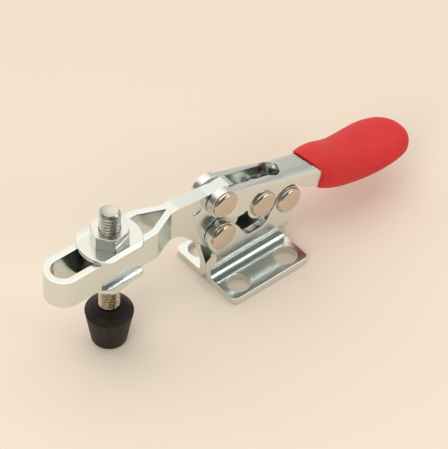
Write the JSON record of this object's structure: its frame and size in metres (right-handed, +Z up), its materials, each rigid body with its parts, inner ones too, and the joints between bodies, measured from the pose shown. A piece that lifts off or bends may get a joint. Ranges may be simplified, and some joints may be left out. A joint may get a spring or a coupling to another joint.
{
  "type": "toggle clamp",
  "caption": "Small horizontal-handle toggle clamp: slotted arm with a rubber-tipped threaded spindle, folded sheet-metal base with bolt holes, and a channel lever with a soft red grip.",
  "frame": {"origin": "centre of the base's underside, midway between its bolt holes", "axes": "+X from the arm's tip toward the grip, +Z up from the mounting face, +Y to the arm's left when looking along +X"},
  "size_m": [0.1068, 0.0218, 0.0418],
  "materials": {
    "zinc_sheet": "bright zinc plate, satin",
    "zinc_hardware": "bright zinc plate",
    "rivet_steel": "satin, warm",
    "red_grip": "fine matte texture",
    "black_rubber": "satin"
  },
  "bodies": {
    "base": {"base_left": "zinc_sheet", "base_right": "zinc_sheet", "arm_pivot_rivet": "rivet_steel", "link_rear_rivet": "rivet_steel"},
    "arm": {"clamp_arm": "zinc_sheet"},
    "link": {"toggle_link_left": "zinc_sheet", "toggle_link_right": "zinc_sheet"},
    "lever": {"handle_lever": "zinc_sheet", "handle_grip": "red_grip", "handle_pivot_rivet": "rivet_steel", "link_front_rivet": "rivet_steel"},
    "carrier": {"upper_washer": "zinc_hardware", "lower_washer": "zinc_hardware", "upper_nut": "zinc_hardware", "lower_nut": "zinc_hardware"},
    "spindle": {"spindle": "zinc_hardware", "spindle_tip": "black_rubber"}
  },
  "joints": [
    {"name": "arm_fold", "type": "hinge", "parent": "base", "child": "arm", "pos_m": [-0.00975, 0, 0.017], "axis": [0, 1, 0], "range_deg": [0, 64]},
    {"name": "link_fold", "type": "hinge", "parent": "base", "child": "link", "pos_m": [0.01, 0, 0.0164], "axis": [0, 1, 0], "range_deg": [0, 84.8]},
    {"name": "lever_fold", "type": "hinge", "parent": "link", "child": "lever", "pos_m": [0.0022, 0, 0.0201], "axis": [0, -1, 0], "range_deg": [0, 129.95]},
    {"name": "carrier_slide", "type": "slide", "parent": "arm", "child": "carrier", "axis": [1, 0, 0], "range_m": [-0.013, 0.0055]},
    {"name": "spindle_height", "type": "slide", "parent": "carrier", "child": "spindle", "axis": [0, 0, 1], "range_m": [-0.005, 0.007]}
  ],
  "couplings": [
    {"joint": "link_fold", "follows": "arm_fold", "ratio": 1.3245},
    {"joint": "lever_fold", "follows": "arm_fold", "ratio": 2.0298}
  ]
}
